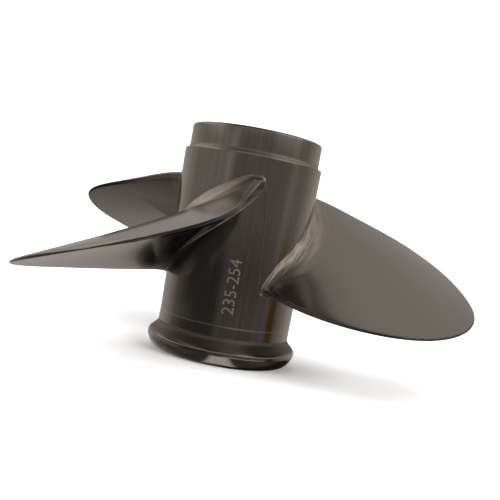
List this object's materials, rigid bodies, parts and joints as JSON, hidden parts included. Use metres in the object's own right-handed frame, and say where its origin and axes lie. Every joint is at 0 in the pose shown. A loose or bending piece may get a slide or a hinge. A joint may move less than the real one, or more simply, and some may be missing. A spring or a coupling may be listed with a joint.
{
  "type": "outboard motor propeller",
  "caption": "Right-hand outboard propeller with through-hub exhaust, flared aft ring and splined rubber-bushed hub.",
  "frame": {"origin": "on the shaft line, in the plane of the aft rim that the propeller stands on", "axes": "+Z forward along the shaft, towards the gearcase; blades are right-hand, so the leading edges lie at the higher Z and turn from +X towards +Y; +X points about at the middle of the first blade"},
  "size_m": [0.2057, 0.221, 0.1064],
  "materials": {
    "polished_steel": "hand-polished stainless steel, ground fillets at the blade roots",
    "cast_steel": "as cast, matt, inside the barrel",
    "rubber": "moulded, matt",
    "brass": "broached, satin"
  },
  "bodies": {
    "root": {"hub_barrel": "polished_steel", "diffuser_ring": "polished_steel", "blade_1": "polished_steel", "blade_2": "polished_steel", "blade_3": "polished_steel", "inner_hub": "cast_steel", "rib_1": "cast_steel", "rib_2": "cast_steel", "rib_3": "cast_steel", "rubber_bush": "rubber", "splined_sleeve": "brass"}
  },
  "joints": []
}
